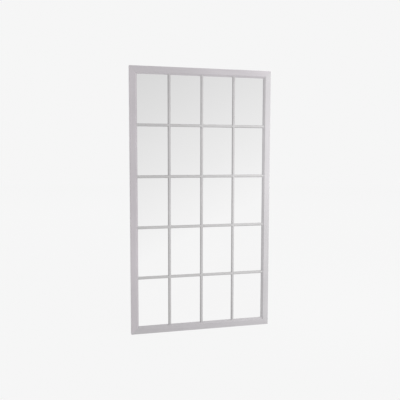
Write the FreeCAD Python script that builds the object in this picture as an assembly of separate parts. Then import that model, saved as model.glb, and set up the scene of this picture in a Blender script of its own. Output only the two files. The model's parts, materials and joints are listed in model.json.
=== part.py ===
import FreeCAD, Part
import math
import os

from FreeCAD import Placement, Rotation, Vector

# A tall window-pane leaner mirror that stands on its bottom rail.
# Millimetres. X runs along the width, Y from the front to the back, Z up.
# The origin is in the middle of the underside.

# Overall size
frame_height = 1800.0
frame_width = 985.0
frame_depth = 36.0

# Moulding of the stiles and rails, across its width from the outer edge
member_width = 50.5
face_width = 38.0
bevel_depth = 13.0
lip_thickness = 3.5
outer_round = 3.0
bevel_round = 2.0
back_round = 1.5

# Rebate behind the lip
glass_rebate = 10.0

# Panes and glazing bars
pane_columns = 4
pane_rows = 5
bar_width = 20.0
bar_flat = 9.0
bar_height = 10.0
bar_side = 1.0
bar_round = 1.5
bar_housing = 8.0
glue_clearance = 0.1

# Mirror sheet, its packing and the backing board
glass_thickness = 4.0
glass_edge_gap = 2.0
setting_block_length = 60.0
packing_thickness = 3.0
packing_width = 10.0
packing_inset = 3.0
board_thickness = 4.0

# Steel points driven into the rebate behind the board
point_width = 8.0
point_thickness = 0.6
point_shoulder = 9.0
point_tip = 5.0
point_overlap = 9.0
point_clearance = 0.05
point_end_inset = 110.0
side_point_count = 6
rail_point_count = 4

# Loose splines across the mitres
spline_length = 28.0
spline_width = 16.0
spline_thickness = 6.0

# Screws that hold the hangers
screw_shank = 4.0
screw_head = 8.0
screw_head_height = 2.2
screw_length = 20.0
screw_hole_clearance = 0.25
pilot_clearance = 0.05

# Strap hangers with swinging D-rings
hanger_drop = 350.0
strap_width = 16.0
strap_thickness = 1.5
strap_end_round = 5.0
strap_screw_pitch = 19.0
strap_end_margin = 8.0
eye_seam = 0.8
ring_wire = 4.0
ring_wire_sides = 8
ring_leg = 2.5
ring_side_gap = 1.25
ring_strap_gap = 0.3
hinge_clearance = 0.08
ring_screw_gap = 2.0

# Rubber bumpers on the back
bumper_diameter = 16.0
bumper_taper = 1.5
bumper_height = 8.0
bumper_end_inset = 40.0

# Depth planes, from the front face to the back
front = -frame_depth / 2
back = frame_depth / 2
bevel_foot = front + bevel_depth
glass_front = bevel_foot + lip_thickness
glass_back = glass_front + glass_thickness
board_front = glass_back + packing_thickness
board_back = board_front + board_thickness

# Lines across the moulding, from the outer edge
rebate_line = member_width - glass_rebate
glass_line = rebate_line + glass_edge_gap
back_middle_line = rebate_line / 2

# Sight opening inside the frame
sight_half_width = frame_width / 2 - member_width
sight_low = member_width
sight_high = frame_height - member_width

# Hanger sizes that follow from the strap and the wire
eye_radius = strap_thickness + ring_strap_gap + ring_wire / 2
ring_half_width = strap_width / 2 + ring_side_gap + ring_wire / 2
ring_corner = ring_side_gap + ring_wire / 2
ring_drop = ring_corner + ring_leg + ring_half_width
first_strap_screw = ring_drop + ring_wire / 2 + ring_screw_gap + screw_head / 2
strap_drop = first_strap_screw + strap_screw_pitch + strap_end_margin
hanger_height = frame_height - hanger_drop

# Extra reach that carries a cutting solid past the face that it cuts
overcut = 1.0


def corner_arc(before, corner, after):
    """Start, middle and end of the round at one corner of an outline."""
    point = Vector(corner[0], corner[1], 0)
    radius = corner[2]
    if radius == 0:
        return point, point, point
    to_before = (Vector(before[0], before[1], 0) - point).normalize()
    to_after = (Vector(after[0], after[1], 0) - point).normalize()
    half_angle = to_before.getAngle(to_after) / 2
    tangent_reach = radius / math.tan(half_angle)
    bisector = (to_before + to_after).normalize()
    middle = point + bisector * (radius / math.sin(half_angle) - radius)
    return point + to_before * tangent_reach, middle, point + to_after * tangent_reach


def rounded_wire(corners, place):
    """Closed wire through corners (across, along, radius), put into space by place."""
    count = len(corners)
    arcs = []
    for index in range(count):
        arcs.append(corner_arc(corners[index - 1], corners[index], corners[(index + 1) % count]))
    edges = []
    for index in range(count):
        start, middle, end = arcs[index]
        next_start = arcs[(index + 1) % count][0]
        if corners[index][2] > 0:
            edges.append(Part.Arc(place(start), place(middle), place(end)).toShape())
        if end.distanceToPoint(next_start) > Part.Precision.confusion():
            edges.append(Part.LineSegment(place(end), place(next_start)).toShape())
    return Part.Wire(edges)


def prism(corners, place, run):
    return Part.Face(rounded_wire(corners, place)).extrude(run)


def turned(corners, base):
    """Solid turned about the Y axis through base, from an outline of (radius, depth, round)."""

    def place(point):
        return base + Vector(point.x, point.y, 0)

    return Part.Face(rounded_wire(corners, place)).revolve(base, Vector(0, 1, 0), 360)


def block(low, high):
    size = high - low
    return Part.makeBox(size.x, size.y, size.z, low)


def spread(low, high, count):
    return [low + (high - low) * index / (count - 1) for index in range(count)]


def even_spokes(count):
    """Unit vectors in the XY plane towards the corners of a regular outline."""
    turns = [2 * math.pi * (index + 0.5) / count for index in range(count)]
    return [Vector(math.cos(turn), math.sin(turn), 0) for turn in turns]


def frame_member(length):
    """Mitred moulding laid along X, with its outer edge on Z = 0."""
    section = [
        (0, front, outer_round),
        (face_width, front, bevel_round),
        (member_width, bevel_foot, 0),
        (member_width, glass_front, 0),
        (rebate_line, glass_front, 0),
        (rebate_line, back, back_round),
        (0, back, back_round),
    ]

    def at_end(point):
        return Vector(-length / 2, point.y, point.x)

    def in_plan(point):
        return Vector(point.x, front - overcut, point.y)

    moulding = prism(section, at_end, Vector(length, 0, 0))
    inner_reach = member_width + overcut
    half = length / 2
    plan = [
        (-half, 0, 0),
        (half, 0, 0),
        (half - inner_reach, inner_reach, 0),
        (inner_reach - half, inner_reach, 0),
    ]
    return moulding.common(prism(plan, in_plan, Vector(0, frame_depth + 2 * overcut, 0)))


def placed(shape, turn, x, z):
    """Turn a member about Y, then carry its outer edge to its side of the frame."""
    shape.Placement = Placement(Vector(x, 0, z), Rotation(Vector(0, 1, 0), turn))
    return shape


def bar_section(grow):
    half = bar_width / 2 + grow
    half_flat = bar_flat / 2 + grow
    shoulder = glass_front - bar_side - grow
    crown = glass_front - bar_height - grow
    foot = glass_front + grow
    return [
        (-half, foot, 0),
        (-half, shoulder, 0),
        (-half_flat, crown, bar_round),
        (half_flat, crown, bar_round),
        (half, shoulder, 0),
        (half, foot, 0),
    ]


def upright_bar(x, grow=0):
    """Vertical bar at x, with its ends let into the rails."""
    low = sight_low - bar_housing - grow
    high = sight_high + bar_housing + grow

    def at_foot(point):
        return Vector(x + point.x, point.y, low)

    return prism(bar_section(grow), at_foot, Vector(0, 0, high - low))


def cross_bar(z, grow=0):
    """Horizontal bar at height z, with its ends let into the stiles."""
    reach = sight_half_width + bar_housing + grow

    def at_left(point):
        return Vector(-reach, point.y, z + point.x)

    return prism(bar_section(grow), at_left, Vector(2 * reach, 0, 0))


def bar_lines(low, high, panes):
    """Middles of the bars that divide an opening into equal panes."""
    pane = (high - low - (panes - 1) * bar_width) / panes
    return [low + number * (pane + bar_width) - bar_width / 2 for number in range(1, panes)]


def lapped_bars(upright_lines, cross_lines):
    """Bars halved into each other where they cross, with their bevels mitred."""
    lap_plane = glass_front - bar_height / 2
    half_width = frame_width / 2
    front_half = block(Vector(-half_width, front - overcut, 0), Vector(half_width, lap_plane, frame_height))
    back_half = block(Vector(-half_width, lap_plane, 0), Vector(half_width, back, frame_height))
    front_notches = [cross_bar(z, glue_clearance).common(front_half) for z in cross_lines]
    back_notches = [upright_bar(x, glue_clearance).common(back_half) for x in upright_lines]
    uprights = [upright_bar(x).cut(front_notches) for x in upright_lines]
    crosses = [cross_bar(z).cut(back_notches) for z in cross_lines]
    return uprights, crosses


def screw(base):
    """Round-headed screw with its head seated on base, driven towards the front."""
    shank = screw_shank / 2
    head = screw_head / 2
    outline = [
        (0, -screw_length, 0),
        (shank, -screw_length, 0),
        (shank, 0, 0),
        (head, 0, 0),
        (head, screw_head_height, 0),
        (0, screw_head_height, 0),
    ]
    return turned(outline, base)


def screw_hole(base, length, clearance):
    """Round hole for a screw, from base towards the front."""
    return Part.makeCylinder(screw_shank / 2 + clearance, length, base, Vector(0, -1, 0))


def retaining_point(base, inward, grow=0):
    """Flat steel point at base on the rebate wall, its tip driven into the wood."""
    along = Vector(inward.z, 0, -inward.x)
    half = point_width / 2 + grow
    outline = [
        (-half, point_overlap, 0),
        (half, point_overlap, 0),
        (half, -point_shoulder, 0),
        (0, -point_shoulder - point_tip - grow, 0),
        (-half, -point_shoulder, 0),
    ]

    def on_board(point):
        return base + along * point.x + inward * point.y - Vector(0, grow, 0)

    return prism(outline, on_board, Vector(0, point_thickness + 2 * grow, 0))


def retaining_points(grow=0):
    """Points all round the rebate, lying on the back of the board."""
    side = frame_width / 2 - rebate_line
    top = frame_height - rebate_line
    across = frame_width / 2 - point_end_inset
    points = []
    for z in spread(point_end_inset, frame_height - point_end_inset, side_point_count):
        points.append(retaining_point(Vector(-side, board_back, z), Vector(1, 0, 0), grow))
        points.append(retaining_point(Vector(side, board_back, z), Vector(-1, 0, 0), grow))
    for x in spread(-across, across, rail_point_count):
        points.append(retaining_point(Vector(x, board_back, rebate_line), Vector(0, 0, 1), grow))
        points.append(retaining_point(Vector(x, board_back, top), Vector(0, 0, -1), grow))
    return points


def mitre_splines(grow=0):
    """Loose splines let square across the four mitres, at mid depth."""
    half_length = spline_length / 2 + grow
    half_width = spline_width / 2 + grow
    outline = [
        (-half_length, -half_width, 0),
        (half_length, -half_width, 0),
        (half_length, half_width, 0),
        (-half_length, half_width, 0),
    ]
    thickness = spline_thickness + 2 * grow
    splines = []
    for side in (-1, 1):
        for upward, z in ((1, back_middle_line), (-1, frame_height - back_middle_line)):
            across = Vector(-side, 0, -upward).normalize()
            inward = Vector(-side, 0, upward).normalize()
            centre = Vector(side * (frame_width / 2 - back_middle_line), -thickness / 2, z)

            def in_mitre(point):
                return centre + across * point.x + inward * point.y

            splines.append(prism(outline, in_mitre, Vector(0, thickness, 0)))
    return splines


def mirror_sheet():
    low = Vector(glass_line - frame_width / 2, glass_front, glass_line)
    high = Vector(frame_width / 2 - glass_line, glass_back, frame_height - glass_line)
    return block(low, high)


def setting_blocks():
    """Blocks that carry the lower edges of the glass and the board."""
    blocks = []
    for x in (-frame_width / 4, frame_width / 4):
        low = Vector(x - setting_block_length / 2, glass_front, rebate_line)
        high = Vector(x + setting_block_length / 2, board_back, glass_line)
        blocks.append(block(low, high))
    return blocks


def packing_strips():
    """Felt strips round the edge, between the glass and the board."""
    outer = glass_line + packing_inset
    inner = outer + packing_width
    half = frame_width / 2
    spans = [
        (outer - half, inner - half, outer, frame_height - outer),
        (half - inner, half - outer, outer, frame_height - outer),
        (inner - half, half - inner, outer, inner),
        (inner - half, half - inner, frame_height - inner, frame_height - outer),
    ]
    strips = []
    for x_low, x_high, z_low, z_high in spans:
        strips.append(block(Vector(x_low, glass_back, z_low), Vector(x_high, board_front, z_high)))
    return strips


def backing_board():
    low = Vector(glass_line - frame_width / 2, board_front, glass_line)
    high = Vector(frame_width / 2 - glass_line, board_back, frame_height - glass_line)
    return block(low, high)


def strap_screw_seats(pivot):
    """Points on the strap where its screw heads sit, below the ring's reach."""
    drops = (first_strap_screw, first_strap_screw + strap_screw_pitch)
    return [Vector(pivot.x, back + strap_thickness, pivot.z - drop) for drop in drops]


def hanger_strap(pivot):
    """Steel strap on the back of a stile, rolled into an eye at its upper end."""
    half = strap_width / 2
    outline = [
        (-half, 0, 0),
        (half, 0, 0),
        (half, -strap_drop, strap_end_round),
        (-half, -strap_drop, strap_end_round),
    ]

    def on_stile(point):
        return Vector(pivot.x + point.x, back, pivot.z + point.y)

    plate = prism(outline, on_stile, Vector(0, strap_thickness, 0))
    eye_end = pivot - Vector(half, 0, 0)
    along = Vector(1, 0, 0)
    eye = Part.makeCylinder(eye_radius, strap_width, eye_end, along)
    bore = Part.makeCylinder(ring_wire / 2 + hinge_clearance, strap_width, eye_end, along)
    seam_low = Vector(pivot.x - half, back + strap_thickness, pivot.z - eye_radius)
    seam = block(seam_low, seam_low + Vector(strap_width, eye_seam, eye_radius))
    holes = [screw_hole(seat, strap_thickness, screw_hole_clearance) for seat in strap_screw_seats(pivot)]
    return plate.fuse(eye.cut([bore, seam])).removeSplitter().cut(holes)


def hanger_ring(pivot):
    """D-ring bent from round wire, hanging from the eye by its straight side."""
    half = ring_half_width
    path = [
        (-half, 0, ring_corner),
        (half, 0, ring_corner),
        (half, -ring_drop, half),
        (-half, -ring_drop, half),
    ]

    def below_pivot(point):
        return pivot + Vector(point.x, 0, point.y)

    start = below_pivot(Vector(-half, -ring_corner, 0))
    section = [start + spoke * (ring_wire / 2) for spoke in even_spokes(ring_wire_sides)]
    wire_section = Part.makePolygon(section + section[:1])
    return rounded_wire(path, below_pivot).makePipeShell([wire_section], True, False)


def wall_bumpers():
    """Tapered rubber bumpers near the four corners of the back."""
    base = bumper_diameter / 2
    outline = [
        (0, 0, 0),
        (base, 0, 0),
        (base - bumper_taper, bumper_height, 0),
        (0, bumper_height, 0),
    ]
    x = frame_width / 2 - back_middle_line
    heights = (bumper_end_inset, frame_height - bumper_end_inset)
    return [turned(outline, Vector(side * x, back, z)) for side in (-1, 1) for z in heights]


def save(name, shape):
    shape.exportStep(f"parts/{name}.step")


os.makedirs("parts", exist_ok=True)

# Bars first, because the frame is notched to take their ends
bar_columns = bar_lines(-sight_half_width, sight_half_width, pane_columns)
bar_rows = bar_lines(sight_low, sight_high, pane_rows)
upright_bars, cross_bars = lapped_bars(bar_columns, bar_rows)
for number, bar in enumerate(upright_bars, 1):
    save(f"vertical_bar_{number}", bar)
for number, bar in enumerate(cross_bars, 1):
    save(f"horizontal_bar_{number}", bar)

# Places of the hangers and their screws, shared by the pieces that they pass through
hanger_x = frame_width / 2 - back_middle_line
pivots = {
    "left": Vector(-hanger_x, back + eye_radius, hanger_height),
    "right": Vector(hanger_x, back + eye_radius, hanger_height),
}
strap_seats = []
for pivot in pivots.values():
    strap_seats.extend(strap_screw_seats(pivot))

# Frame, cut for the splines, bar ends, points and screws
frame_cuts = mitre_splines(glue_clearance) + retaining_points(point_clearance)
frame_cuts += [upright_bar(x, glue_clearance) for x in bar_columns]
frame_cuts += [cross_bar(z, glue_clearance) for z in bar_rows]
frame_cuts += [screw_hole(seat, screw_length, pilot_clearance) for seat in strap_seats]
half_width = frame_width / 2
half_height = frame_height / 2
save("bottom_rail", frame_member(frame_width).cut(frame_cuts))
save("top_rail", placed(frame_member(frame_width), 180, 0, frame_height).cut(frame_cuts))
save("left_stile", placed(frame_member(frame_height), 90, -half_width, half_height).cut(frame_cuts))
save("right_stile", placed(frame_member(frame_height), -90, half_width, half_height).cut(frame_cuts))
save("mitre_splines", Part.makeCompound(mitre_splines()))

# Mirror and what holds it
save("mirror_sheet", mirror_sheet())
save("setting_blocks", Part.makeCompound(setting_blocks()))
save("packing_strips", Part.makeCompound(packing_strips()))
save("backing_board", backing_board())
save("retaining_points", Part.makeCompound(retaining_points()))

# Hardware on the back
for side, pivot in pivots.items():
    save(f"{side}_hanger_strap", hanger_strap(pivot))
    save(f"{side}_hanger_ring", hanger_ring(pivot))
save("strap_screws", Part.makeCompound([screw(seat) for seat in strap_seats]))
save("wall_bumpers", Part.makeCompound(wall_bumpers()))
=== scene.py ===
import json
import math

import bmesh
import bpy
from mathutils import Matrix, Vector


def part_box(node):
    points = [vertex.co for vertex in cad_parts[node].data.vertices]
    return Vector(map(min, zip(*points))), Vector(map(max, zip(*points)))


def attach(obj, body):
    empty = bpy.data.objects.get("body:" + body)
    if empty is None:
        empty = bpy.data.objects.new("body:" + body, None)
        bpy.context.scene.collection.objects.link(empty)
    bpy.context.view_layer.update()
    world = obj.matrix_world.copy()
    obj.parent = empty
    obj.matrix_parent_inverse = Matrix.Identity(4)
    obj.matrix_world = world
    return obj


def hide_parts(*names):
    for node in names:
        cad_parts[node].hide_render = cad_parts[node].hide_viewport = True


# Dresses a window-pane leaner mirror: painted frame, silvered glass, board and the fittings on the back.
# Metres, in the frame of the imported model: X along the width, Y from front to back, Z up.
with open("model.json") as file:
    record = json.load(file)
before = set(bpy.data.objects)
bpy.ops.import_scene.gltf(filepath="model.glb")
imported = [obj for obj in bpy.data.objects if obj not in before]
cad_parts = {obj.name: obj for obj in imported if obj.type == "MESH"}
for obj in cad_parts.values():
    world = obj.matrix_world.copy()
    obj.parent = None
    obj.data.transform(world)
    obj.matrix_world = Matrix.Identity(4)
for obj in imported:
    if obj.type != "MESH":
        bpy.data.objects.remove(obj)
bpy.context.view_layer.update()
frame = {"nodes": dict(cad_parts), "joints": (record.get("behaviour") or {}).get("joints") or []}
nodes = frame["nodes"]
scene = bpy.context.scene
scene.view_settings.view_transform = "Standard"
print("loaded", len(nodes), "nodes")


# Node helpers
def addNode(tree, kind, settings=None, **values):
    node = tree.nodes.new("ShaderNode" + kind)
    for key, value in (settings or {}).items():
        setattr(node, key, value)
    for key, value in values.items():
        node.inputs[key].default_value = value
    return node


def feed(tree, value, socket):
    if isinstance(value, bpy.types.NodeSocket):
        tree.links.new(value, socket)
    else:
        socket.default_value = value


def sums(tree, operation, *values):
    node = addNode(tree, "Math", {"operation": operation})
    for value, socket in zip(values, node.inputs):
        feed(tree, value, socket)
    return node.outputs[0]


def ramp(tree, value, start, end, low=0.0, high=1.0):
    node = addNode(tree, "MapRange", {"interpolation_type": "SMOOTHSTEP"})
    labels = ("Value", "From Min", "From Max", "To Min", "To Max")
    for given, label in zip((value, start, end, low, high), labels):
        feed(tree, given, node.inputs[label])
    return node.outputs[0]


def mixColour(tree, share, first, second):
    node = addNode(tree, "Mix", {"data_type": "RGBA"})
    for value, socket in zip((share, first, second), (node.inputs[0], node.inputs[6], node.inputs[7])):
        feed(tree, value, socket)
    return node.outputs[2]


def mixValue(tree, share, first, second):
    node = addNode(tree, "Mix", {"data_type": "FLOAT"})
    for value, socket in zip((share, first, second), (node.inputs[0], node.inputs[2], node.inputs[3])):
        feed(tree, value, socket)
    return node.outputs[0]


# Laid over a colour: all of the second colour where the mask is 1 and the share is 1
def overlay(tree, mask, share, under, over):
    return mixColour(tree, sums(tree, "MULTIPLY", mask, share), under, over)


def objectPlace(tree, stretch=(1, 1, 1)):
    place = addNode(tree, "TexCoord")
    mapping = addNode(tree, "Mapping", Scale=stretch)
    tree.links.new(place.outputs["Object"], mapping.inputs["Vector"])
    return mapping.outputs[0]


def parted(tree, vector):
    parts = addNode(tree, "SeparateXYZ")
    tree.links.new(vector, parts.inputs[0])
    return parts.outputs["X"], parts.outputs["Y"], parts.outputs["Z"]


def srgb(red, green, blue, shadeAndHueGains=(1, 1, 1)):
    linear = []
    for part, gain in zip((red, green, blue), shadeAndHueGains):
        share = part / 255
        linear.append(gain * (share / 12.92 if share <= 0.04045 else ((share + 0.055) / 1.055) ** 2.4))
    return (*linear, 1)


def newMaterial(name, **values):
    material = bpy.data.materials.new(name)
    material.use_nodes = True
    shader = material.node_tree.nodes["Principled BSDF"]
    for key, value in values.items():
        shader.inputs[key].default_value = value
    return material, material.node_tree, shader


def addBump(tree, shader, height, strength, depth):
    bump = addNode(tree, "Bump", Strength=strength, Distance=depth)
    tree.links.new(height, bump.inputs["Height"])
    tree.links.new(bump.outputs[0], shader.inputs["Normal"])


# Node groups for the effects that several finishes share
def newGroup(name, output, *values):
    group = bpy.data.node_groups.new(name, "ShaderNodeTree")
    group.interface.new_socket("Place", in_out="INPUT", socket_type="NodeSocketVector")
    for label in values:
        group.interface.new_socket(label, in_out="INPUT", socket_type="NodeSocketFloat")
    group.interface.new_socket(output, in_out="OUTPUT", socket_type="NodeSocketFloat")
    given = group.nodes.new("NodeGroupInput").outputs
    return group, given, group.nodes.new("NodeGroupOutput").inputs[output]


def useGroup(tree, group, **values):
    node = addNode(tree, "Group", {"node_tree": group})
    for key, value in values.items():
        feed(tree, value, node.inputs[key])
    return node.outputs[0]


def noise(tree, place, scale, detail, roughness):
    node = addNode(tree, "TexNoise", Detail=detail, Roughness=roughness)
    tree.links.new(place, node.inputs["Vector"])
    feed(tree, scale, node.inputs["Scale"])
    return node.outputs[0]


# Long streaks with finer ones between them, along whichever axis the place is stretched
streak = {
    "detail": 4,
    "rough": 0.6,
    "finer": 5,
    "fineDetail": 2,
    "fineRough": 0.5,
    "fineShare": 0.4,
    "from": 0.34,
    "to": 0.66,
}


def makeStreaks():
    group, given, out = newGroup("grainStreaks", "Streaks", "Scale")
    broad = noise(group, given["Place"], given["Scale"], streak["detail"], streak["rough"])
    fineScale = sums(group, "MULTIPLY", given["Scale"], streak["finer"])
    fine = noise(group, given["Place"], fineScale, streak["fineDetail"], streak["fineRough"])
    both = mixValue(group, streak["fineShare"], broad, fine)
    feed(group, ramp(group, both, streak["from"], streak["to"]), out)
    return group


# Soft uneven patches
patch = {"detail": 3, "rough": 0.45, "from": 0.3, "to": 0.7}


def makePatches():
    group, given, out = newGroup("softPatches", "Patches", "Scale")
    cloud = noise(group, given["Place"], given["Scale"], patch["detail"], patch["rough"])
    feed(group, ramp(group, cloud, patch["from"], patch["to"]), out)
    return group


# Small specks, more of them as Amount rises
def makeSpecks():
    group, given, out = newGroup("fineSpecks", "Specks", "Scale", "Amount")
    cells = addNode(group, "TexVoronoi", {"feature": "F1"})
    group.links.new(given["Place"], cells.inputs["Vector"])
    group.links.new(given["Scale"], cells.inputs["Scale"])
    feed(group, ramp(group, cells.outputs["Distance"], given["Amount"], 0.0), out)
    return group


# A thin line where a distance is near to nothing, worn away here and there
thin = {"detail": 3, "rough": 0.5, "from": 0.35, "to": 0.65}


def makeThinLine():
    group, given, out = newGroup("thinLine", "Line", "Distance", "Width", "Breaks")
    near = ramp(group, sums(group, "ABSOLUTE", given["Distance"]), given["Width"], 0.0)
    cloud = noise(group, given["Place"], given["Breaks"], thin["detail"], thin["rough"])
    feed(group, sums(group, "MULTIPLY", near, ramp(group, cloud, thin["from"], thin["to"])), out)
    return group


streaksGroup = makeStreaks()
patchesGroup = makePatches()
specksGroup = makeSpecks()
lineGroup = makeThinLine()

# Lines of the frame and the bars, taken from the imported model
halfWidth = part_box("bottom_rail")[1].x
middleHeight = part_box("left_stile")[1].z / 2
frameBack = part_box("left_stile")[1].y
barHalf = (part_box("vertical_bar_2")[1].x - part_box("vertical_bar_2")[0].x) / 2
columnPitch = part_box("vertical_bar_2")[0].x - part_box("vertical_bar_1")[0].x
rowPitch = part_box("horizontal_bar_2")[0].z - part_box("horizontal_bar_1")[0].z
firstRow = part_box("horizontal_bar_1")[0].z + barHalf


# Distances across each kind of member, from the outer edge of the frame or the middle of a bar
def fromSide(tree, x, z):
    return sums(tree, "SUBTRACT", halfWidth, sums(tree, "ABSOLUTE", x))


def fromEnd(tree, x, z):
    fromMiddle = sums(tree, "ABSOLUTE", sums(tree, "SUBTRACT", z, middleHeight))
    return sums(tree, "SUBTRACT", middleHeight, fromMiddle)


def fromColumn(tree, x, z):
    return sums(tree, "ABSOLUTE", sums(tree, "WRAP", x, columnPitch / 2, -columnPitch / 2))


def fromRow(tree, x, z):
    height = sums(tree, "SUBTRACT", z, firstRow)
    return sums(tree, "ABSOLUTE", sums(tree, "WRAP", height, rowPitch / 2, -rowPitch / 2))


# Satin paint brushed along the wood, thin on the arrises and on the back
paint = {
    "pale": (206, 202, 205),
    "deep": (193, 189, 192),
    "arris": (212, 208, 210),
    "seam": (140, 134, 136),
    "backCoat": (186, 179, 176),
    "grainStretch": 0.02,
    "grainScale": 160,
    "grainShare": 0.45,
    "patchScale": 2.5,
    "arrisWidth": 0.0016,
    "arrisShare": 0.35,
    "arrisBreaks": 40,
    "seamWidth": 0.0005,
    "seamShare": 0.6,
    "seamBreaks": 8,
    "backDepth": 0.0015,
    "satin": 0.5,
    "dry": 0.72,
    "bump": 0.22,
    "bumpDepth": 0.0002,
}


def paintedWood(name, along, across, arrises, mitred, shadeAndHueGains):
    material, tree, shader = newMaterial(name)
    stretch = [paint["grainStretch"] if axis == along else 1 for axis in "XYZ"]
    place = objectPlace(tree)
    x, y, z = parted(tree, place)
    streaks = useGroup(tree, streaksGroup, Place=objectPlace(tree, stretch), Scale=paint["grainScale"])
    patches = useGroup(tree, patchesGroup, Place=place, Scale=paint["patchScale"])
    share = mixValue(tree, paint["grainShare"], patches, streaks)
    # The member's gains paint light and shade into the colour: lighter or darker copies of one paint
    colour = mixColour(tree, share, srgb(*paint["deep"], shadeAndHueGains), srgb(*paint["pale"], shadeAndHueGains))
    distance = across(tree, x, z)
    offsets = [("arris", sums(tree, "SUBTRACT", distance, arris)) for arris in arrises]
    if mitred:
        offsets.append(("seam", sums(tree, "SUBTRACT", fromSide(tree, x, z), fromEnd(tree, x, z))))
    for kind, offset in offsets:
        width, breaks = paint[kind + "Width"], paint[kind + "Breaks"]
        line = useGroup(tree, lineGroup, Place=place, Distance=offset, Width=width, Breaks=breaks)
        colour = overlay(tree, line, paint[kind + "Share"], colour, srgb(*paint[kind]))
    back = ramp(tree, y, frameBack - paint["backDepth"], frameBack)
    colour = overlay(tree, back, streaks, colour, srgb(*paint["backCoat"]))
    feed(tree, colour, shader.inputs["Base Color"])
    dryness = sums(tree, "ADD", share, back)
    feed(tree, ramp(tree, dryness, 0.0, 2.0, paint["satin"], paint["dry"]), shader.inputs["Roughness"])
    addBump(tree, shader, streaks, paint["bump"], paint["bumpDepth"])
    return material


# Silvered glass with the faintest wipe marks
glass = {
    "clear": (0.999, 0.997, 0.998, 1),
    "veil": (0.993, 0.991, 0.992, 1),
    "veilScale": 3,
    "wipeStretch": (0.35, 1, 0.12),
    "wipeScale": 14,
    "sharp": 0.004,
    "wiped": 0.018,
}


def silveredGlass():
    material, tree, shader = newMaterial("silveredGlass", Metallic=1.0)
    wipePlace = objectPlace(tree, glass["wipeStretch"])
    wipes = useGroup(tree, streaksGroup, Place=wipePlace, Scale=glass["wipeScale"])
    veil = useGroup(tree, patchesGroup, Place=objectPlace(tree), Scale=glass["veilScale"])
    feed(tree, mixColour(tree, veil, glass["clear"], glass["veil"]), shader.inputs["Base Color"])
    haze = sums(tree, "MULTIPLY", wipes, veil)
    feed(tree, ramp(tree, haze, 0.0, 1.0, glass["sharp"], glass["wiped"]), shader.inputs["Roughness"])
    return material


# Bare fibreboard: pressed fibres, lighter and darker specks, faint cloudy patches
board = {
    "brown": (150, 115, 82),
    "tan": (164, 129, 94),
    "patchScale": 5,
    "fibreStretch": (0.3, 1, 0.12),
    "fibreScale": 900,
    "fibreShare": 0.5,
    "darkFibre": (122, 90, 62),
    "darkStretch": (1, 1, 0.35),
    "darkScale": 900,
    "darkAmount": 0.34,
    "darkShare": 0.6,
    "lightFibre": (180, 147, 112),
    "lightStretch": (0.4, 1, 1),
    "lightScale": 700,
    "lightAmount": 0.3,
    "lightShare": 0.5,
    "pressed": 0.58,
    "open": 0.76,
    "bump": 0.15,
    "bumpDepth": 0.0002,
}


def bareBoard():
    material, tree, shader = newMaterial("bareFibreboard")
    patches = useGroup(tree, patchesGroup, Place=objectPlace(tree), Scale=board["patchScale"])
    fibrePlace = objectPlace(tree, board["fibreStretch"])
    fibres = useGroup(tree, streaksGroup, Place=fibrePlace, Scale=board["fibreScale"])
    share = mixValue(tree, board["fibreShare"], patches, fibres)
    colour = mixColour(tree, share, srgb(*board["brown"]), srgb(*board["tan"]))
    for kind in ("dark", "light"):
        place = objectPlace(tree, board[kind + "Stretch"])
        scale, amount = board[kind + "Scale"], board[kind + "Amount"]
        specks = useGroup(tree, specksGroup, Place=place, Scale=scale, Amount=amount)
        colour = overlay(tree, specks, board[kind + "Share"], colour, srgb(*board[kind + "Fibre"]))
    feed(tree, colour, shader.inputs["Base Color"])
    feed(tree, ramp(tree, share, 0.0, 1.0, board["pressed"], board["open"]), shader.inputs["Roughness"])
    addBump(tree, shader, fibres, board["bump"], board["bumpDepth"])
    return material


# Bare beech of the splines in the mitres
beech = {
    "light": (205, 168, 126),
    "dark": (170, 128, 88),
    "grainStretch": (0.06, 1, 1),
    "grainScale": 320,
    "fleckStretch": (0.2, 1, 1),
    "fleckScale": 700,
    "fleckAmount": 0.3,
    "fleckShare": 0.5,
    "smooth": 0.55,
    "rough": 0.7,
    "bump": 0.2,
    "bumpDepth": 0.0002,
}


def bareBeech():
    material, tree, shader = newMaterial("bareBeech")
    grainPlace = objectPlace(tree, beech["grainStretch"])
    grain = useGroup(tree, streaksGroup, Place=grainPlace, Scale=beech["grainScale"])
    fleckPlace = objectPlace(tree, beech["fleckStretch"])
    scale, amount = beech["fleckScale"], beech["fleckAmount"]
    fleck = useGroup(tree, specksGroup, Place=fleckPlace, Scale=scale, Amount=amount)
    colour = mixColour(tree, grain, srgb(*beech["light"]), srgb(*beech["dark"]))
    colour = overlay(tree, fleck, beech["fleckShare"], colour, srgb(*beech["dark"]))
    feed(tree, colour, shader.inputs["Base Color"])
    feed(tree, ramp(tree, grain, 0.0, 1.0, beech["smooth"], beech["rough"]), shader.inputs["Roughness"])
    addBump(tree, shader, grain, beech["bump"], beech["bumpDepth"])
    return material


# Grey felt of the packing
felt = {
    "grey": (70, 70, 72),
    "lint": (104, 103, 104),
    "lintScale": 1600,
    "lintAmount": 0.5,
    "lintShare": 0.6,
    "patchScale": 60,
    "rough": 0.95,
    "sheen": 0.4,
    "bump": 0.5,
    "bumpDepth": 0.0005,
}


def greyFelt():
    material, tree, shader = newMaterial("greyFelt", Roughness=felt["rough"])
    shader.inputs["Sheen Weight"].default_value = felt["sheen"]
    place = objectPlace(tree)
    lint = useGroup(tree, specksGroup, Place=place, Scale=felt["lintScale"], Amount=felt["lintAmount"])
    patches = useGroup(tree, patchesGroup, Place=place, Scale=felt["patchScale"])
    share = mixValue(tree, felt["lintShare"], patches, lint)
    colour = mixColour(tree, share, srgb(*felt["grey"]), srgb(*felt["lint"]))
    feed(tree, colour, shader.inputs["Base Color"])
    addBump(tree, shader, lint, felt["bump"], felt["bumpDepth"])
    return material


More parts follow.
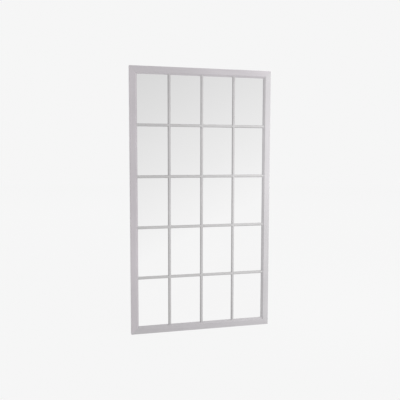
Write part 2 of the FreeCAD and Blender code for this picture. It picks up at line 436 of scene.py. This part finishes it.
# Black rubber with a little grey bloom
rubber = {
    "black": (46, 46, 48),
    "bloom": (86, 86, 88),
    "bloomScale": 120,
    "bloomShare": 0.6,
    "pitScale": 2600,
    "pitAmount": 0.35,
    "smooth": 0.42,
    "rough": 0.7,
    "bump": 0.25,
    "bumpDepth": 0.0002,
}


def blackRubber():
    material, tree, shader = newMaterial("blackRubber")
    place = objectPlace(tree)
    bloom = useGroup(tree, patchesGroup, Place=place, Scale=rubber["bloomScale"])
    pits = useGroup(tree, specksGroup, Place=place, Scale=rubber["pitScale"], Amount=rubber["pitAmount"])
    colour = overlay(tree, bloom, rubber["bloomShare"], srgb(*rubber["black"]), srgb(*rubber["bloom"]))
    feed(tree, colour, shader.inputs["Base Color"])
    feed(tree, ramp(tree, bloom, 0.0, 1.0, rubber["smooth"], rubber["rough"]), shader.inputs["Roughness"])
    addBump(tree, shader, pits, rubber["bump"], rubber["bumpDepth"])
    return material


# Zinc plate: a bluish and a straw tone, with fine scratches
zinc = {
    "blue": (150, 155, 163),
    "straw": (166, 161, 148),
    "tintScale": 90,
    "scratchStretch": (1, 0.6, 0.08),
    "scratchScale": 1400,
    "smooth": 0.2,
    "dull": 0.42,
    "bump": 0.08,
    "bumpDepth": 0.00005,
}


def zincPlate():
    material, tree, shader = newMaterial("zincPlate", Metallic=1.0)
    tint = useGroup(tree, patchesGroup, Place=objectPlace(tree), Scale=zinc["tintScale"])
    scratchPlace = objectPlace(tree, zinc["scratchStretch"])
    scratches = useGroup(tree, streaksGroup, Place=scratchPlace, Scale=zinc["scratchScale"])
    colour = mixColour(tree, tint, srgb(*zinc["blue"]), srgb(*zinc["straw"]))
    feed(tree, colour, shader.inputs["Base Color"])
    feed(tree, ramp(tree, scratches, 0.0, 1.0, zinc["smooth"], zinc["dull"]), shader.inputs["Roughness"])
    addBump(tree, shader, scratches, zinc["bump"], zinc["bumpDepth"])
    return material


def dress(material, *names):
    for name in names:
        slots = nodes[name].data.materials
        slots.clear()
        slots.append(material)


# Where the moulding breaks, and a red, green and blue gain for each kind of member: painted light and
# shade, each member's paint made lighter or darker for how the light falls on it, with a small shift in
# hue
moulding = {
    "faceWidth": 0.038,
    "barFlat": 0.009,
    # Painted light and shade: the same paint made lighter on the left stile and darker on the right
    # stile, bottom rail and bars
    "leftStile": (1.021, 1.006, 1.021),
    "rightStile": (0.984, 0.998, 0.993),
    "topRail": (1.003, 0.998, 1.008),
    "bottomRail": (0.957, 0.967, 0.967),
    "upright": (0.985, 1.012, 0.985),
    "cross": (0.974, 1.004, 0.974),
}


def dressFrame():
    frameArrises = (0.0, moulding["faceWidth"])
    barArrises = (moulding["barFlat"] / 2, barHalf)
    uprights = [name for name in nodes if name.startswith("vertical_bar")]
    crosses = [name for name in nodes if name.startswith("horizontal_bar")]
    kinds = (
        ("leftStile", "Z", fromSide, frameArrises, True, ("left_stile",)),
        ("rightStile", "Z", fromSide, frameArrises, True, ("right_stile",)),
        ("topRail", "X", fromEnd, frameArrises, True, ("top_rail",)),
        ("bottomRail", "X", fromEnd, frameArrises, True, ("bottom_rail",)),
        ("upright", "Z", fromColumn, barArrises, False, uprights),
        ("cross", "X", fromRow, barArrises, False, crosses),
    )
    for kind, along, across, arrises, mitred, names in kinds:
        dress(paintedWood(kind + "Paint", along, across, arrises, mitred, moulding[kind]), *names)


dressFrame()
rubberFinish = blackRubber()
zincFinish = zincPlate()
dress(silveredGlass(), "mirror_sheet")
dress(bareBoard(), "backing_board")
dress(bareBeech(), "mitre_splines")
dress(rubberFinish, "setting_blocks")
dress(zincFinish, "left_hanger_strap", "right_hanger_strap", "retaining_points")
print("finishes done")


weldDistance = 1e-6  # corners closer than this are merged


# New pieces: the mesh holds the place, and the object stays at the origin
def addPiece(name, mesh, material, body, stands):
    piece = bpy.data.objects.new(name, mesh)
    scene.collection.objects.link(piece)
    mesh.materials.clear()
    mesh.materials.append(material)
    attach(piece, body)
    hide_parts(stands)


def bakeMesh(build, name, smooth=True):
    bmesh.ops.recalc_face_normals(build, faces=build.faces)
    mesh = bpy.data.meshes.new(name)
    build.to_mesh(mesh)
    build.free()
    for face in mesh.polygons:
        face.use_smooth = smooth
    return mesh


# Copies of one mesh, each turned about Y and set in its place
def setOut(one, name, places, turns):
    build = bmesh.new()
    for place, turn in zip(places, turns):
        before = len(build.verts)
        build.from_mesh(one)
        build.verts.ensure_lookup_table()
        added = build.verts[before:]
        turned = Matrix.Rotation(math.radians(turn), 4, "Y")
        bmesh.ops.transform(build, verts=added, matrix=Matrix.Translation(place) @ turned)
    mesh = bpy.data.meshes.new(name)
    build.to_mesh(mesh)
    build.free()
    return mesh


def roundEdges(build, edges, piece):
    size = {"offset": piece["round"], "segments": piece["roundSteps"]}
    bmesh.ops.bevel(build, geom=edges, affect="EDGES", profile=0.5, material=-1, **size)


# A chain of (radius, height) points turned about the Y axis, with its upper creases rounded
def turnProfile(points, piece, roundFrom):
    build = bmesh.new()
    corners = [build.verts.new((radius, height, 0)) for radius, height in points]
    chain = [build.edges.new(pair) for pair in zip(corners, corners[1:])]
    turn = {"cent": (0, 0, 0), "axis": (0, 1, 0), "angle": math.tau, "steps": piece["steps"]}
    bmesh.ops.spin(build, geom=corners + chain, use_merge=True, **turn)
    bmesh.ops.remove_doubles(build, verts=build.verts, dist=weldDistance)
    bmesh.ops.recalc_face_normals(build, faces=build.faces)
    creases = []
    for edge in build.edges:
        if edge.verts[0].co.y > roundFrom and edge.calc_face_angle(0) > piece["sharpest"]:
            creases.append(edge)
    roundEdges(build, creases, piece)
    return build


# D-rings bent from round wire, closed round the eye of each strap
dRing = {
    "wire": 0.004,
    "sideGap": 0.00125,
    "leg": 0.0025,
    "wireSides": 20,
    "cornerSteps": 8,
    "bowSteps": 28,
    "weld": 1e-5,
}


def bendWire(build, edges, centre, angle, steps):
    bent = bmesh.ops.spin(build, geom=edges, cent=centre, axis=(0, 1, 0), angle=angle, steps=steps)
    return [part for part in bent["geom_last"] if isinstance(part, bmesh.types.BMEdge)]


def drawWire(build, edges, travel):
    drawn = bmesh.ops.extrude_edge_only(build, edges=edges)["geom"]
    moved = [part for part in drawn if isinstance(part, bmesh.types.BMVert)]
    bmesh.ops.translate(build, verts=moved, vec=travel)
    return [part for part in drawn if isinstance(part, bmesh.types.BMEdge) and part.is_boundary]


def makeRing(name, strap, pivot):
    strapLow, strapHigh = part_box(strap)
    corner = dRing["sideGap"] + dRing["wire"] / 2
    half = (strapHigh.x - strapLow.x) / 2 + corner
    leg = dRing["leg"]
    build = bmesh.new()
    start = Matrix.Translation((-half, 0, -corner))
    bmesh.ops.create_circle(build, segments=dRing["wireSides"], radius=dRing["wire"] / 2, matrix=start)
    bend = half - corner
    edges = bendWire(build, build.edges[:], (-bend, 0, -corner), math.pi / 2, dRing["cornerSteps"])
    edges = drawWire(build, edges, (2 * bend, 0, 0))
    edges = bendWire(build, edges, (bend, 0, -corner), math.pi / 2, dRing["cornerSteps"])
    edges = drawWire(build, edges, (0, 0, -leg))
    edges = bendWire(build, edges, (0, 0, -corner - leg), math.pi, dRing["bowSteps"])
    drawWire(build, edges, (0, 0, leg))
    bmesh.ops.remove_doubles(build, verts=build.verts, dist=dRing["weld"])
    bmesh.ops.translate(build, verts=build.verts, vec=pivot)
    return bakeMesh(build, name)


for joint in frame["joints"]:
    side = joint["child"].split("_")[0]
    ringMesh = makeRing(side + "Ring", side + "_hanger_strap", joint["pos_m"])
    addPiece(side + "Ring", ringMesh, zincFinish, joint["child"], side + "_hanger_ring")
print("rings done")

# Pan-head screws with a cross recess, two through each strap
panScrew = {
    "head": 0.004,
    "rim": 0.0009,
    "height": 0.0022,
    "crown": 0.0022,
    "shank": 0.002,
    "length": 0.02,
    "point": 0.004,
    "round": 0.0005,
    "roundSteps": 4,
    "sharpest": 0.3,
    "steps": 32,
    "recessLong": 0.0046,
    "recessWide": 0.0009,
    "recessDeep": 0.0013,
    "recessTaper": 0.55,
    "turns": (12, 55, 83, 31),
}


# Two crossed bars that narrow downwards
def crossCutter():
    build = bmesh.new()
    long, wide, deep = panScrew["recessLong"], panScrew["recessWide"], panScrew["recessDeep"]
    for size in ((long, 2 * deep, wide), (wide, 2 * deep, long)):
        made = bmesh.ops.create_cube(build, size=1)["verts"]
        bmesh.ops.scale(build, verts=made, vec=size)
        foot = [vert for vert in made if vert.co.y < 0]
        bmesh.ops.scale(build, verts=foot, vec=(panScrew["recessTaper"], 1, panScrew["recessTaper"]))
    bmesh.ops.translate(build, verts=build.verts, vec=(0, panScrew["height"], 0))
    cutter = bpy.data.objects.new("crossCutter", bakeMesh(build, "crossCutter", False))
    scene.collection.objects.link(cutter)
    return cutter


def makeScrew():
    head, shank, height = panScrew["head"], panScrew["shank"], panScrew["height"]
    outline = (
        (0, -panScrew["length"]),
        (shank, panScrew["point"] - panScrew["length"]),
        (shank, 0),
        (head, 0),
        (head, panScrew["rim"]),
        (panScrew["crown"], height),
        (0, height),
    )
    build = turnProfile(outline, panScrew, 0)
    blank = bpy.data.objects.new("screwBlank", bakeMesh(build, "screwBlank"))
    scene.collection.objects.link(blank)
    cutter = crossCutter()
    recess = blank.modifiers.new("recess", "BOOLEAN")
    recess.object = cutter
    recess.operation = "DIFFERENCE"
    recess.solver = "EXACT"
    recess.use_self = True
    cut = bpy.data.meshes.new_from_object(blank.evaluated_get(bpy.context.evaluated_depsgraph_get()))
    for spare in (blank, cutter):
        bpy.data.objects.remove(spare)
    build = bmesh.new()
    build.from_mesh(cut)
    bmesh.ops.remove_doubles(build, verts=build.verts, dist=weldDistance)  # at the corners of the cut
    build.to_mesh(cut)
    build.free()
    return cut


def makeScrews():
    screwLow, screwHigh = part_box("strap_screws")
    head = panScrew["head"]
    places = []
    for strap in ("left_hanger_strap", "right_hanger_strap"):
        strapLow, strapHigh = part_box(strap)
        for z in (screwHigh.z - head, screwLow.z + head):
            places.append(((strapLow.x + strapHigh.x) / 2, screwHigh.y - panScrew["height"], z))
    return setOut(makeScrew(), "panScrews", places, panScrew["turns"])


addPiece("panScrews", makeScrews(), zincFinish, "frame", "strap_screws")
print("screws done")

# Rubber bumpers with a rolled rim and a dished top
bumper = {
    "base": 0.008,
    "top": 0.0065,
    "height": 0.008,
    "dish": 0.0009,
    "rim": 0.0017,
    "skirt": 0.0008,
    "round": 0.0006,
    "roundSteps": 4,
    "sharpest": 0.25,
    "steps": 40,
    "turns": (0, 40, 75, 110),
}


def makeBumpers():
    base, top, height, rim = bumper["base"], bumper["top"], bumper["height"], bumper["rim"]
    outline = (
        (0, 0),
        (base, 0),
        (base, bumper["skirt"]),
        (base - bumper["skirt"] / 2, bumper["skirt"]),
        (top, height - rim),
        (top - rim, height),
        (top - 2 * rim, height),
        (0, height - bumper["dish"]),
    )
    build = turnProfile(outline, bumper, height / 2)
    low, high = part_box("wall_bumpers")
    places = [(x, low.y, z) for x in (low.x + base, high.x - base) for z in (low.z + base, high.z - base)]
    return setOut(bakeMesh(build, "oneBumper"), "rubberBumpers", places, bumper["turns"])


addPiece("rubberBumpers", makeBumpers(), rubberFinish, "frame", "wall_bumpers")
print("bumpers done")

# Felt strips between the glass and the board
strips = {"width": 0.01, "gap": 0.0003, "round": 0.0008, "roundSteps": 2}


def makeStrips():
    low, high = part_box("packing_strips")
    width = strips["width"]
    inner = width + strips["gap"]
    spans = (
        (low, Vector((low.x + width, high.y, high.z))),
        (Vector((high.x - width, low.y, low.z)), high),
        (Vector((low.x + inner, low.y, low.z)), Vector((high.x - inner, high.y, low.z + width))),
        (Vector((low.x + inner, low.y, high.z - width)), Vector((high.x - inner, high.y, high.z))),
    )
    build = bmesh.new()
    for near, far in spans:
        made = bmesh.ops.create_cube(build, size=1)["verts"]
        bmesh.ops.scale(build, verts=made, vec=far - near)
        bmesh.ops.translate(build, verts=made, vec=(near + far) / 2)
    roundEdges(build, build.edges[:], strips)
    return bakeMesh(build, "feltStrips", False)


addPiece("feltStrips", makeStrips(), greyFelt(), "frame", "packing_strips")
print("felt done")

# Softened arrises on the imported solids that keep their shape
ease = {
    "metal": 0.00015,
    "sheet": 0.0004,
    "segments": 2,
    "angle": 40,
    "metalNodes": ("left_hanger_strap", "right_hanger_strap", "retaining_points"),
    "sheetNodes": ("mirror_sheet", "backing_board", "setting_blocks", "mitre_splines"),
}


def soften(name, width):
    weld = nodes[name].modifiers.new("weld", "WELD")
    weld.merge_threshold = weldDistance
    bevel = nodes[name].modifiers.new("ease", "BEVEL")
    bevel.width = width
    bevel.segments = ease["segments"]
    bevel.limit_method = "ANGLE"
    bevel.angle_limit = math.radians(ease["angle"])


for kind in ("metal", "sheet"):
    for name in ease[kind + "Nodes"]:
        soften(name, ease[kind])
print("arrises eased")

# Camera at the photograph's viewing angle, for a square picture
cameraView = {"place": (-0.911, -3.542, 1.215), "yaw": 14.26, "pitch": -4.80, "roll": 0.11, "lens": 47.85}
yaw, pitch, roll = (math.radians(cameraView[key]) for key in ("yaw", "pitch", "roll"))
lens = bpy.data.cameras.new("photoCamera")
lens.lens = cameraView["lens"]
camera = bpy.data.objects.new("photoCamera", lens)
camera.matrix_world = (
    Matrix.Translation(cameraView["place"])
    @ Matrix.Rotation(-yaw, 4, "Z")
    @ Matrix.Rotation(math.pi / 2 + pitch, 4, "X")
    @ Matrix.Rotation(roll, 4, "Z")
)
scene.collection.objects.link(camera)
scene.camera = camera

# Soft studio light: an even pale room, greyer in front and to the left, with a gridded softbox in front
studio = {
    "backTone": 0.921,
    "frontTone": 0.739,  # at the horizon, straight ahead of the mirror
    "riseDrop": 0.66,  # darker upwards and lighter downwards, per unit of direction
    "dropEnd": 0.25,  # where it stops getting darker
    "topGain": 0.8,  # lighter again towards the ceiling
    "rightGain": 0.36,  # lighter to the right
    "leftDrop": 0.35,  # darker still on the left side
    "darkest": 0.35,
    "turnWidth": 0.25,  # how softly the front meets the back
    "keyPlace": (1.45, -2.6, 2.6),
    "keyAim": (1.34, 0.0, 1.05),
    "keySize": (0.8, 0.8),
    "keySpread": 65,  # degrees, so that the light falls off to the left
    "keyPower": 11.2,
}


# Brightness of the room in a direction
def roomTone(tree, direction):
    x, y, z = parted(tree, direction)
    across = sums(tree, "MULTIPLY_ADD", x, studio["rightGain"], studio["frontTone"])
    across = sums(tree, "MULTIPLY_ADD", sums(tree, "MINIMUM", x, 0.0), studio["leftDrop"], across)
    rise = sums(tree, "MINIMUM", z, studio["dropEnd"])
    sloped = sums(tree, "MULTIPLY_ADD", rise, -studio["riseDrop"], across)
    capped = sums(tree, "MINIMUM", sloped, sums(tree, "MAXIMUM", across, studio["backTone"]))
    above = sums(tree, "MAXIMUM", sums(tree, "SUBTRACT", z, studio["dropEnd"]), 0.0)
    upward = sums(tree, "MULTIPLY_ADD", above, studio["topGain"], capped)
    front = sums(tree, "MAXIMUM", upward, studio["darkest"])
    behind = ramp(tree, y, -studio["turnWidth"], studio["turnWidth"])
    return mixValue(tree, behind, front, studio["backTone"])


# The camera sees a plain pale backdrop, and the object sees the room
def seenTone(tree, direction):
    path = addNode(tree, "LightPath")
    return mixValue(tree, path.outputs["Is Camera Ray"], roomTone(tree, direction), studio["backTone"])


world = bpy.data.worlds.new("studio")
world.use_nodes = True
scene.world = world
room = world.node_tree
look = addNode(room, "TexCoord")
feed(room, seenTone(room, look.outputs["Generated"]), room.nodes["Background"].inputs["Color"])

keyLight = bpy.data.lights.new("softbox", "AREA")
keyLight.shape = "RECTANGLE"
keyLight.size, keyLight.size_y = studio["keySize"]
keyLight.energy = studio["keyPower"]
keyLight.spread = math.radians(studio["keySpread"])
softbox = bpy.data.objects.new("softbox", keyLight)
aim = Vector(studio["keyAim"]) - Vector(studio["keyPlace"])
facing = aim.to_track_quat("-Z", "Y").to_matrix().to_4x4()
softbox.matrix_world = Matrix.Translation(studio["keyPlace"]) @ facing
softbox.visible_glossy = False
scene.collection.objects.link(softbox)

# Pale floor that glows a little, so that it meets the room without a line
pale = {
    "size": 60,
    "rough": 0.9,
    "nearTone": 0.895,
    "nearEnd": 2,
    "farStart": 22,
    "shade": 0.03,
    "bounce": 0.872,  # light that the floor sends up close to the frame
    "bounceEnd": 1.4,
}


def paleFloor():
    material, tree, shader = newMaterial("paleFloor", Roughness=pale["rough"])
    shader.inputs["Specular IOR Level"].default_value = 0
    shader.inputs["Emission Strength"].default_value = 1
    place = objectPlace(tree)
    length = addNode(tree, "VectorMath", {"operation": "LENGTH"})
    tree.links.new(place, length.inputs[0])
    reach = length.outputs["Value"]
    fade = ramp(tree, reach, pale["nearEnd"], pale["farStart"])
    glow = mixValue(tree, fade, pale["nearTone"], studio["backTone"])
    bounced = sums(tree, "MULTIPLY", glow, ramp(tree, reach, 0.0, pale["bounceEnd"], pale["bounce"], 1.0))
    path = addNode(tree, "LightPath")
    seen = mixValue(tree, path.outputs["Is Diffuse Ray"], glow, bounced)
    feed(tree, seen, shader.inputs["Emission Color"])
    feed(tree, ramp(tree, fade, 0.0, 1.0, pale["shade"], 0.0), shader.inputs["Base Color"])
    return material


floorBuild = bmesh.new()
bmesh.ops.create_grid(floorBuild, x_segments=1, y_segments=1, size=pale["size"])
floorMesh = bakeMesh(floorBuild, "floor", False)
floorMesh.materials.append(paleFloor())
floor = bpy.data.objects.new("floor", floorMesh)
floor.visible_glossy = False  # the mirror sees the even slope of the room instead
scene.collection.objects.link(floor)
print("stage done")
